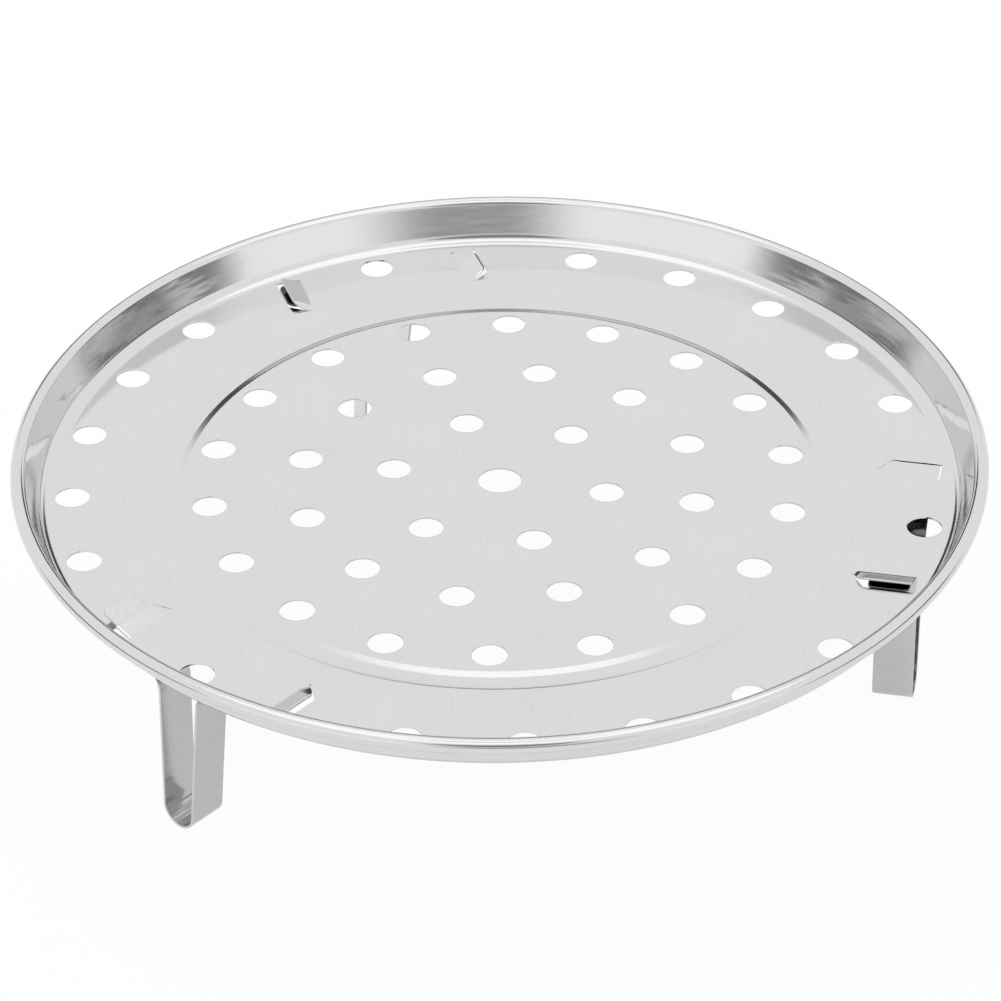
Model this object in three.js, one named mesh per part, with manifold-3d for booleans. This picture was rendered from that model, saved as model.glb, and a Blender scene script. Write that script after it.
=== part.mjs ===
// Steamer basket: a round perforated tray with a rolled rim, standing on three legs of bent
// steel strip. Each leg is held in two louvres lanced in the tray: its flanges slope up under
// the plate and end in tongues inside the louvres, or past them where a leg has been pushed along.
// Millimetres, +Z up. The origin is on the floor under the middle of the tray.
import * as THREE from 'three';
import { mergeGeometries, mergeVertices } from 'three/addons/utils/BufferGeometryUtils.js';
import Module from 'manifold-3d';

const wasm = await Module();
wasm.setup();
const { clamp, degToRad, smoothstep } = THREE.MathUtils;

// Tray: sheet, height over the floor, and the rim
const SHEET = 0.5;
const PLATE_HEIGHT = 47.4;
const TRAY_DIAMETER = 223.4;
const RIM_RISE = 10.2;
const WALL_TILT = degToRad(18);
const CORNER_RADIUS = 2.4;
const BEAD_DIAMETER = 3.5;
const CURL_END = degToRad(-130);

// Pressed ring between the two fields of holes: a steep inner side and a gentle outer side
const RIM_TO_GROOVE = 31.9;
const GROOVE_GENTLE_WIDTH = 5.4;
const GROOVE_STEEP_WIDTH = 1.7;
const GROOVE_DEPTH = 0.65;

// Holes: one in the middle, three rings inside the pressed ring and one between it and the rim,
// all counted from the direction of the back leg
const CENTRE_HOLE_DIAMETER = 10;
const HOLE_DIAMETER = 8;
const FIRST_RING_RADIUS = 25;
const RING_PITCH = 21;
const RIM_TO_OUTER_HOLES = 13.5;
const RING_COUNTS = [6, 12, 18];
const OUTER_RING_COUNT = 24;

// Leg strip and its bends: a U that is widest at its shoulders and is measured outside its foot
const STRIP_WIDTH = 9.4;
const STRIP = 0.6;
const RIM_TO_LEG = 18.4;
const U_WIDTH = 9.2;
const ARM_LEAN = degToRad(2.4);
const SHOULDER_RADIUS = 7;
const SHOULDER_DROP = 3;
const TONGUE_REACH = 23;
const TONGUE_RISE = degToRad(19);
const TUCKED_RISE = degToRad(10);
const TONGUE_CORNER_RADIUS = 1.8;

// Louvres, measured along the leg's tangent from the middle of the leg. A lip is cut free along
// its edge and at its outer end, and runs out into the plate at its inner end.
const LOUVRE_ROOT = 19.4;
const LOUVRE_DEPTH = 5;
const LOUVRE_INNER_TAPER = 3.6;
const LOUVRE_OUTER_MARGIN = 1.1;
const LOUVRE_POINT_SHARE = 0.25;
const LOUVRE_CORNER_CUT = 2.6;
const LOUVRE_SLIT = 1.2;
const LOUVRE_END_SLIT = 0.4;
const LIP_RISE = 1.7;
const FIT = 0.4;

// A lip is drawn a little thinner than the sheet, and is rooted in it by a narrow skirt
const LIP_THINNING = 0.05;
const LIP_SKIRT = 0.4;

// Smoothness of round stretches
const TRAY_SEGMENTS = 72;
const HOLE_SEGMENTS = 12;
const CORNER_STEPS = 3;
const BEAD_STEPS = 12;
const BEND_STEPS = 6;
const U_STEPS = 12;
const RAMP_STEPS = 6;
const TAPER_STEPS = 3;

// Radii that follow from the rim, and levels over the plate's upper face that follow from the fits
const TRAY_RADIUS = TRAY_DIAMETER / 2;
const GROOVE_OUTER_RADIUS = TRAY_RADIUS - RIM_TO_GROOVE;
const GROOVE_FLOOR_RADIUS = GROOVE_OUTER_RADIUS - GROOVE_GENTLE_WIDTH;
const GROOVE_INNER_RADIUS = GROOVE_FLOOR_RADIUS - GROOVE_STEEP_WIDTH;
const LEG_RADIUS = TRAY_RADIUS - RIM_TO_LEG;
const FLANGE_LEVEL = -SHEET - FIT - STRIP / 2;
const LIP_HALF_FLAT = STRIP_WIDTH / 2 + FIT;
const LOUVRE_INNER_END = LEG_RADIUS - LIP_HALF_FLAT - LOUVRE_INNER_TAPER;
const LOUVRE_OUTER_END = LEG_RADIUS + LIP_HALF_FLAT + LOUVRE_OUTER_MARGIN;
const LIP_OUTER_END = LOUVRE_OUTER_END - LOUVRE_END_SLIT;
const TUCKED_REACH = LOUVRE_ROOT + LOUVRE_DEPTH + LOUVRE_SLIT - FIT / 2;
const PUNCH_HEIGHT = 4 * (SHEET + GROOVE_DEPTH);

// The legs: how far each has been pushed along its louvres, anticlockwise from above, how far it
// leans that way, and how far its tongues reach and rise. Two are tucked into their louvres, and
// the third has been pushed past one of them.
const LEGS = [
  { name: 'leg_back', azimuth: degToRad(90), slide: 0, tilt: 0, reach: TUCKED_REACH, rise: TUCKED_RISE },
  { name: 'leg_right', azimuth: degToRad(-30), slide: 0, tilt: 0, reach: TUCKED_REACH, rise: TUCKED_RISE },
  {
    name: 'leg_left',
    azimuth: degToRad(-150),
    slide: -7,
    tilt: degToRad(4),
    reach: TONGUE_REACH,
    rise: TONGUE_RISE,
  },
];

const STEEL = { color: 0xd8d9da, roughness: 0.34, metalness: 1 };

// Points on an arc, from one angle to another
function arc(centre, radius, from, to, steps) {
  const points = [];
  for (let i = 0; i <= steps; i += 1) {
    const angle = from + (to - from) * i / steps;
    points.push(new THREE.Vector2(radius, 0).rotateAround(new THREE.Vector2(), angle).add(centre));
  }
  return points;
}

// An open path moved to the right of its direction, with mitred corners
function moved(path, distance) {
  const directions = path.slice(1).map((point, i) => point.clone().sub(path[i]).normalize());
  return path.map((point, i) => {
    const into = directions[Math.max(i - 1, 0)];
    const out = directions[Math.min(i, directions.length - 1)];
    const right = new THREE.Vector2(into.y + out.y, -into.x - out.x);
    return point.clone().addScaledVector(right, distance / (1 + into.dot(out)));
  });
}

// A closed mesh made a solid that can be cut and joined
function solid(geometry) {
  const bare = geometry.clone();
  bare.deleteAttribute('normal');
  bare.deleteAttribute('uv');
  const merged = mergeVertices(bare);
  const vertProperties = Float32Array.from(merged.attributes.position.array);
  const triVerts = Uint32Array.from(merged.index.array);
  return new wasm.Manifold(new wasm.Mesh({ numProp: 3, vertProperties, triVerts }));
}

// A solid made a mesh again
function surface(body) {
  const mesh = body.getMesh();
  const geometry = new THREE.BufferGeometry();
  geometry.setAttribute('position', new THREE.BufferAttribute(mesh.vertProperties, 3));
  geometry.setIndex(new THREE.BufferAttribute(mesh.triVerts, 1));
  geometry.computeVertexNormals();
  return geometry;
}

// The upper face of the tray's sheet from the middle hole to the end of the rolled bead
function trayFace() {
  const beadRadius = BEAD_DIAMETER / 2;
  const bead = new THREE.Vector2(TRAY_RADIUS - beadRadius, RIM_RISE - beadRadius);
  const wallTopRadius = bead.x - beadRadius * Math.cos(WALL_TILT);
  const wallTop = bead.y + beadRadius * Math.sin(WALL_TILT);
  const wallFootRadius = wallTopRadius - wallTop * Math.tan(WALL_TILT);
  const cornerReach = CORNER_RADIUS * Math.tan((Math.PI / 2 - WALL_TILT) / 2);
  const corner = new THREE.Vector2(wallFootRadius - cornerReach, CORNER_RADIUS);
  return [
    new THREE.Vector2(CENTRE_HOLE_DIAMETER / 2, 0),
    new THREE.Vector2(GROOVE_INNER_RADIUS, 0),
    new THREE.Vector2(GROOVE_FLOOR_RADIUS, -GROOVE_DEPTH),
    new THREE.Vector2(GROOVE_OUTER_RADIUS, 0),
    ...arc(corner, CORNER_RADIUS, -Math.PI / 2, -WALL_TILT, CORNER_STEPS),
    ...arc(bead, beadRadius, Math.PI - WALL_TILT, CURL_END, BEAD_STEPS),
  ];
}

// The sheet of the tray before it is pierced
function traySheet() {
  const upper = trayFace();
  const outline = [...moved(upper, SHEET), ...upper.reverse()];
  outline.push(outline[0].clone());
  return new THREE.LatheGeometry(outline, TRAY_SEGMENTS).rotateX(Math.PI / 2);
}

// True where a hole would run into one of the louvres
function meetsLouvre(x, y) {
  return LEGS.some((leg) => {
    const local = new THREE.Vector2(x, y).rotateAround(new THREE.Vector2(), -leg.azimuth);
    const along = Math.abs(local.y) - LOUVRE_ROOT;
    const gapAlong = Math.max(-along, along - LOUVRE_DEPTH - LOUVRE_SLIT, 0);
    const gapAcross = Math.max(LOUVRE_INNER_END - local.x, local.x - LOUVRE_OUTER_END, 0);
    return Math.hypot(gapAlong, gapAcross) < HOLE_DIAMETER / 2 + FIT;
  });
}

// The rings of round holes: how many places each has, and its radius
function holeRings() {
  const rings = RING_COUNTS.map((count, i) => ({ count, radius: FIRST_RING_RADIUS + RING_PITCH * i }));
  rings.push({ count: OUTER_RING_COUNT, radius: TRAY_RADIUS - RIM_TO_OUTER_HOLES });
  return rings;
}

// All round holes but the middle one, as one set of punches
function holePunches() {
  const punchRadius = HOLE_DIAMETER / 2;
  const punches = [];
  for (const ring of holeRings()) {
    for (let i = 0; i < ring.count; i += 1) {
      const angle = LEGS[0].azimuth + 2 * Math.PI * i / ring.count;
      const x = ring.radius * Math.cos(angle);
      const y = ring.radius * Math.sin(angle);
      if (!meetsLouvre(x, y)) {
        const punch = new THREE.CylinderGeometry(punchRadius, punchRadius, PUNCH_HEIGHT, HOLE_SEGMENTS);
        punches.push(punch.rotateX(Math.PI / 2).rotateZ(angle).translate(x, y, 0));
      }
    }
  }
  return mergeGeometries(punches);
}

// Height of a louvre's lip over the plate, by the distance from its root towards its slit
function lipRamp(along) {
  return LIP_RISE * smoothstep(along, 0, LOUVRE_DEPTH);
}

// The share of that height which is left at a radius, as the inner end runs out into the plate
function lipFade(radius) {
  return smoothstep(radius, LOUVRE_INNER_END, LOUVRE_INNER_END + LOUVRE_INNER_TAPER);
}

// The share of the lip's depth which is left at a radius, so that its inner end is a rounded point
function lipShare(radius) {
  const inner = clamp((radius - LOUVRE_INNER_END) / LOUVRE_INNER_TAPER, 0, 1);
  return LOUVRE_POINT_SHARE + (1 - LOUVRE_POINT_SHARE) * Math.sin(Math.PI / 2 * inner);
}

// Where the lip's surface is sampled: radii, and distances from its root
function lipGrid() {
  const across = [LOUVRE_INNER_END - LIP_SKIRT];
  for (let i = 0; i <= TAPER_STEPS; i += 1) {
    across.push(LOUVRE_INNER_END + LOUVRE_INNER_TAPER * i / TAPER_STEPS);
  }
  across.push(LIP_OUTER_END);
  const along = [-LIP_SKIRT];
  for (let i = 0; i <= RAMP_STEPS; i += 1) {
    along.push(LOUVRE_DEPTH * i / RAMP_STEPS);
  }
  return { across, along };
}

// The lip of the louvre on one side of a leg: a thin shell between two faces, closed all round
function louvreLip(side) {
  const { across, along } = lipGrid();
  const rows = along.length;
  const positions = [];
  for (const face of [-LIP_THINNING, LIP_THINNING - SHEET]) {
    for (const radius of across) {
      for (const place of along) {
        const height = face + lipRamp(place) * lipFade(radius);
        const along = LOUVRE_ROOT + place * (place > 0 ? lipShare(radius) : 1);
        positions.push(radius, side * along, height);
      }
    }
  }
  const lower = across.length * rows;
  const index = [];
  const addQuad = (a, b, c, d) => index.push(...(side > 0 ? [a, b, c, a, c, d] : [a, c, b, a, d, c]));
  const at = (i, j) => i * rows + j;
  for (let i = 0; i + 1 < across.length; i += 1) {
    for (let j = 0; j + 1 < rows; j += 1) {
      addQuad(at(i, j), at(i + 1, j), at(i + 1, j + 1), at(i, j + 1));
      addQuad(lower + at(i, j), lower + at(i, j + 1), lower + at(i + 1, j + 1), lower + at(i + 1, j));
    }
  }
  const border = [];
  const last = across.length - 1;
  for (let i = 0; i < last; i += 1) border.push(at(i, 0));
  for (let j = 0; j < rows - 1; j += 1) border.push(at(last, j));
  for (let i = last; i > 0; i -= 1) border.push(at(i, rows - 1));
  for (let j = rows - 1; j > 0; j -= 1) border.push(at(0, j));
  border.forEach((a, i) => {
    const b = border[(i + 1) % border.length];
    addQuad(a, lower + a, lower + b, b);
  });
  const geometry = new THREE.BufferGeometry();
  geometry.setAttribute('position', new THREE.Float32BufferAttribute(positions, 3));
  geometry.setIndex(index);
  return geometry;
}

// The window in the sheet that one lip is raised from, with its slit, narrowed towards the point
function louvreWindow(side) {
  const far = LOUVRE_ROOT + LOUVRE_DEPTH + LOUVRE_SLIT;
  const plan = new THREE.Shape([
    new THREE.Vector2(LOUVRE_INNER_END, side * LOUVRE_ROOT),
    new THREE.Vector2(LOUVRE_OUTER_END, side * LOUVRE_ROOT),
    new THREE.Vector2(LOUVRE_OUTER_END, side * far),
    new THREE.Vector2(LOUVRE_INNER_END + LOUVRE_CORNER_CUT, side * far),
    new THREE.Vector2(LOUVRE_INNER_END, side * (LOUVRE_ROOT + LOUVRE_DEPTH * LOUVRE_POINT_SHARE)),
  ]);
  const cutter = new THREE.ExtrudeGeometry(plan, { depth: PUNCH_HEIGHT, bevelEnabled: false });
  return cutter.translate(0, 0, -PUNCH_HEIGHT / 2);
}

// What a function makes for one side of a leg, on both sides of every leg
function atLouvres(make) {
  const copies = [];
  for (const leg of LEGS) {
    for (const side of [1, -1]) {
      copies.push(make(side).rotateZ(leg.azimuth));
    }
  }
  return mergeGeometries(copies);
}

// The pierced tray with its louvres
function trayGeometry() {
  let body = solid(traySheet()).subtract(solid(holePunches()));
  body = body.subtract(solid(atLouvres(louvreWindow)));
  body = body.add(solid(atLouvres(louvreLip)));
  return surface(body);
}

// The middle line of one flange and tongue, after a shoulder that it leaves with a slope: straight
// to the root of the louvre, and on into it with the tongue's own rise
function flangeLine(slope, reach, rise) {
  const pointAt = (along) => {
    const beyond = along - LOUVRE_ROOT;
    return new THREE.Vector2(along, FLANGE_LEVEL + beyond * (beyond > 0 ? Math.tan(rise) : slope));
  };
  const end = pointAt(reach);
  return reach > LOUVRE_ROOT ? [pointAt(LOUVRE_ROOT), end] : [end];
}

// The middle line of one half of a leg, from the foot to the end of the tongue. The arm leans out
// from the foot to the shoulder, where the strip turns towards the root of the louvre. The other
// half is drawn as its mirror image, with the leg pushed and leaning the other way.
function halfLegLine(leg, side) {
  const slide = side * leg.slide;
  const tilt = side * leg.tilt;
  const footRadius = (U_WIDTH - STRIP) / 2;
  const bend = SHOULDER_RADIUS + STRIP / 2;
  const lean = ARM_LEAN + tilt;
  const footLevel = U_WIDTH / 2 - PLATE_HEIGHT;
  const shoulderLevel = FLANGE_LEVEL - SHOULDER_DROP - bend;
  const rise = shoulderLevel - footLevel;
  const foot = new THREE.Vector2(slide - rise * Math.tan(tilt), footLevel);
  const spread = (footRadius + bend) / Math.cos(lean) + rise * Math.tan(lean);
  const shoulder = new THREE.Vector2(foot.x + spread, shoulderLevel);
  const towardsRoot = new THREE.Vector2(LOUVRE_ROOT, FLANGE_LEVEL).sub(shoulder);
  const release = towardsRoot.angle() + Math.acos(bend / towardsRoot.length());
  return [
    ...arc(foot, footRadius, -Math.PI / 2, -lean, U_STEPS / 2),
    ...arc(shoulder, bend, Math.PI - lean, release, BEND_STEPS),
    ...flangeLine(-1 / Math.tan(release), leg.reach + slide, leg.rise),
  ];
}

// The plan of the flat strip, with the corners of both tongues rounded
function stripPlan(leg) {
  const end = leg.reach;
  const half = STRIP_WIDTH / 2;
  const round = TONGUE_CORNER_RADIUS;
  const plan = new THREE.Shape();
  plan.absarc(half - round, end - round, round, 0, Math.PI / 2);
  plan.absarc(round - half, end - round, round, Math.PI / 2, Math.PI);
  plan.absarc(round - half, round - end, round, Math.PI, 1.5 * Math.PI);
  plan.absarc(half - round, round - end, round, 1.5 * Math.PI, 2 * Math.PI);
  const depth = 2 * PLATE_HEIGHT;
  const slab = new THREE.ExtrudeGeometry(plan, { depth, bevelEnabled: false, curveSegments: 4 });
  return slab.translate(LEG_RADIUS, leg.slide, PLATE_HEIGHT / 2 - depth);
}

// One leg: the strip's edge outline drawn in the plane of its bends, as wide as the strip
function legGeometry(leg) {
  const mirrored = halfLegLine(leg, -1).map((point) => new THREE.Vector2(-point.x, point.y));
  const line = [...mirrored.slice(1).reverse(), ...halfLegLine(leg, 1)];
  const outline = [...moved(line, STRIP / 2), ...moved(line, -STRIP / 2).reverse()];
  const strip = new THREE.ExtrudeGeometry(new THREE.Shape(outline), {
    depth: STRIP_WIDTH,
    bevelEnabled: false,
  });
  const tangent = new THREE.Vector3(0, 1, 0);
  const up = new THREE.Vector3(0, 0, 1);
  const outwards = new THREE.Vector3(1, 0, 0);
  strip.applyMatrix4(new THREE.Matrix4().makeBasis(tangent, up, outwards));
  strip.translate(LEG_RADIUS - STRIP_WIDTH / 2, 0, 0);
  return surface(solid(strip).intersect(solid(stripPlan(leg))));
}

// A named piece of the basket
function piece(name, geometry) {
  const mesh = new THREE.Mesh(geometry, new THREE.MeshStandardMaterial(STEEL));
  mesh.name = name;
  return mesh;
}

const basket = new THREE.Group();
basket.position.z = PLATE_HEIGHT;
basket.add(piece('tray', trayGeometry()));
for (const leg of LEGS) {
  const mesh = piece(leg.name, legGeometry(leg));
  mesh.rotation.z = leg.azimuth;
  basket.add(mesh);
}

export default basket;
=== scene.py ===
"""Steamer basket: a perforated steel tray with a rolled rim on three bent strip legs."""
import logging
import math
from dataclasses import dataclass, field
from enum import Enum
from typing import Callable, Iterator

import bmesh
import bpy
from mathutils import Matrix, Vector


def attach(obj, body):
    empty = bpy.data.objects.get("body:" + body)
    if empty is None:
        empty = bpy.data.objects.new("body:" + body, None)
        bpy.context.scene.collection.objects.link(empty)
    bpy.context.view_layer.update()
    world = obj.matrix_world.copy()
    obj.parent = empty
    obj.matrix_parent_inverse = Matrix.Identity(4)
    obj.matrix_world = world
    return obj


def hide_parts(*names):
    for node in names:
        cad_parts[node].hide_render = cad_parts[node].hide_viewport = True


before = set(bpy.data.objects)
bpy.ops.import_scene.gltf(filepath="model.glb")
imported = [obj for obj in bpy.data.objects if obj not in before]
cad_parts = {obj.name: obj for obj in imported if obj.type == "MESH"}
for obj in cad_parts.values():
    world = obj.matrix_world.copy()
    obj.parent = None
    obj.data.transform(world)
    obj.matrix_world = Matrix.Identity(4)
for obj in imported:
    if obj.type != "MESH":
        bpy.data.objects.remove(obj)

LOG = logging.getLogger("steamer_basket")
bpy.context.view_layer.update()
MM = 0.001
NEAR = 0.01 * MM
UP = Vector((0.0, 0.0, 1.0))

# The photograph looks along the tray's +Y axis, turned by this angle about the tray's own axis
PHOTO_TURN = math.radians(-17.7)

# Shared by the tray and the legs: the plate's height in millimetres and the legs' azimuths
PLATE_HEIGHT = 47.4
LEG_AZIMUTHS = (90.0, -30.0, -150.0)

# Edges sharper than the first angle are broken, edges flatter than the second are shaded smooth
BROKEN_FROM = math.radians(62)
SMOOTH_UNDER = math.radians(55)
BROKEN_STEPS = 2

# The least upward share of a normal that counts as level
LEVEL = 0.99

# The vertex group of the borders that the flat plate is filled between
BORDER = "plate_border"

Piece = bpy.types.Object
Node = bpy.types.Node
NodeTree = bpy.types.NodeTree
Socket = bpy.types.NodeSocket
Span = tuple[float, float]


class LouvreSide(Enum):
    """The side of a leg that a louvre is on, seen from above, as the sign of its distance."""

    ANTICLOCKWISE = 1
    CLOCKWISE = -1


class Slot(Enum):
    """The record's material slots."""

    SHEET = "sheet_steel"
    STRIP = "strip_steel"


def edit_all() -> None:
    """Goes into edit mode with all vertices selected."""
    bpy.ops.object.mode_set(mode="EDIT")
    bpy.ops.mesh.select_mode(type="VERT")
    bpy.ops.mesh.select_all(action="SELECT")


def start_point(name: str, place: Vector) -> Piece:
    """Starts a mesh from a small plane merged to one point, and leaves it in edit mode.

    Args:
        name: The new object's name.
        place: Where the point is, in metres.

    Returns:
        The new object, whose only vertex is selected.
    """
    bpy.ops.object.select_all(action="DESELECT")
    bpy.ops.mesh.primitive_plane_add(size=MM)
    piece = bpy.context.active_object
    piece.name = name
    piece.data.name = name
    edit_all()
    bpy.ops.mesh.merge(type="CENTER")
    bpy.ops.transform.translate(value=place)
    return piece


def pick(wanted: Callable[[Vector], bool]) -> None:
    """Selects the vertices in edit mode whose place is wanted, and no others.

    Args:
        wanted: Tells for a vertex's place whether it is to be selected.
    """
    data = bpy.context.edit_object.data
    mesh = bmesh.from_edit_mesh(data)
    for vertex in mesh.verts:
        vertex.select_set(False)
    mesh.select_flush(False)
    for vertex in mesh.verts:
        if wanted(vertex.co):
            vertex.select_set(True)
    mesh.select_flush_mode()
    bmesh.update_edit_mesh(data)


def pick_faces(wanted: Callable[[Vector], bool]) -> None:
    """Selects the faces in edit mode whose middle is wanted, and no others.

    Args:
        wanted: Tells for a face's middle in millimetres whether it is to be selected.
    """
    data = bpy.context.edit_object.data
    mesh = bmesh.from_edit_mesh(data)
    bpy.ops.mesh.select_all(action="DESELECT")
    for face in mesh.faces:
        face.select_set(wanted(face.calc_center_bounds() / MM))
    bmesh.update_edit_mesh(data)


def assign_border(piece: Piece) -> None:
    """Puts a piece's selected vertices in the group of the plate's borders."""
    bpy.ops.object.vertex_group_assign_new()
    piece.vertex_groups.active.name = BORDER


def leave_edit_mode() -> None:
    """Goes back to object mode, which writes the mesh."""
    bpy.ops.object.mode_set(mode="OBJECT")


def activate(piece: Piece) -> None:
    """Makes a piece the only selected object and the active one."""
    bpy.ops.object.select_all(action="DESELECT")
    piece.select_set(True)
    bpy.context.view_layer.objects.active = piece


def copy_of(piece: Piece, placing: Matrix) -> Piece:
    """Copies a piece with a mesh of its own.

    Args:
        piece: The piece to copy, which stays.
        placing: Where the copy stands.

    Returns:
        The copy.
    """
    twin = piece.copy()
    twin.data = piece.data.copy()
    bpy.context.collection.objects.link(twin)
    twin.matrix_world = placing @ piece.matrix_world
    return twin


def join_into(piece: Piece, others: list[Piece]) -> None:
    """Joins other objects into a piece, which stays active."""
    activate(piece)
    for other in others:
        other.select_set(True)
    bpy.ops.object.join()


def apply_modifiers(piece: Piece) -> None:
    """Applies all modifiers of a piece in their order."""
    activate(piece)
    for modifier in list(piece.modifiers):
        bpy.ops.object.modifier_apply(modifier=modifier.name)


def thicken(piece: Piece, thickness: float, offset: float, edge: float) -> None:
    """Gives a sheet its thickness, breaks its edges and smooths its shading.

    Args:
        piece: The sheet, as a surface.
        thickness: The sheet's thickness in metres.
        offset: -1 to thicken below the surface, 0 to both sides of it.
        edge: Size of the broken edges in metres.
    """
    wall = piece.modifiers.new("thickness", "SOLIDIFY")
    wall.thickness = thickness
    wall.offset = offset
    wall.use_even_offset = True
    wall.use_rim = True
    broken = piece.modifiers.new("broken_edges", "BEVEL")
    broken.width = edge
    broken.segments = BROKEN_STEPS
    broken.limit_method = "ANGLE"
    broken.angle_limit = BROKEN_FROM
    broken.use_clamp_overlap = False
    apply_modifiers(piece)
    bpy.ops.object.shade_smooth_by_angle(angle=SMOOTH_UNDER)


def even_shading(piece: Piece) -> None:
    """Weights a piece's normals by area, so that its flat stretches mirror one tone each."""
    even = piece.modifiers.new("even_shading", "WEIGHTED_NORMAL")
    even.keep_sharp = True
    apply_modifiers(piece)


def hand_over(piece: Piece, node: str) -> None:
    """Ties a finished piece to the frame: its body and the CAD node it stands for."""
    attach(piece, "root")
    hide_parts(node)
    LOG.info("%s: %d faces", piece.name, len(piece.data.polygons))


class Section:
    """A section line in the plane of X and Z, drawn stretch by stretch and spun about Z."""

    def __init__(self, name: str, radius: float, level: float) -> None:
        """Starts the line at a radius and level in millimetres."""
        self.place = Vector((radius, 0.0, level)) * MM
        self.piece = start_point(name, self.place)

    def line_to(self, radius: float, level: float) -> None:
        """Draws a straight stretch to a radius and level in millimetres."""
        target = Vector((radius, 0.0, level)) * MM
        bpy.ops.mesh.extrude_vertices_move(TRANSFORM_OT_translate={"value": target - self.place})
        self.place = target

    def arc_about(self, radius: float, level: float, angle: float, steps: int) -> None:
        """Draws an arc, anticlockwise where its angle is positive, as seen from -Y.

        Args:
            radius: The centre's distance from the tray's axis in millimetres.
            level: The centre's level in millimetres.
            angle: How far the arc turns.
            steps: Its segments.
        """
        centre = Vector((radius, 0.0, level)) * MM
        bpy.ops.mesh.spin(steps=steps, angle=angle, center=centre, axis=(0, 1, 0))
        self.place = centre + Matrix.Rotation(-angle, 3, "Y") @ (self.place - centre)

    def round_corner(self, radius: float, size: float, steps: int) -> None:
        """Rounds the corner at a radius by an arc that starts at a distance before it."""
        pick(lambda co: abs(co.x - radius * MM) < NEAR)
        bpy.ops.mesh.bevel(offset=size * MM, segments=steps, affect="VERTICES")

    def spin_round(self, steps: int) -> Piece:
        """Spins the line once round the tray's axis and returns the surface."""
        bpy.ops.mesh.select_all(action="SELECT")
        bpy.ops.mesh.spin(steps=steps, angle=math.tau, center=(0, 0, 0), axis=(0, 0, 1))
        leave_edit_mode()
        return self.piece


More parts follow.
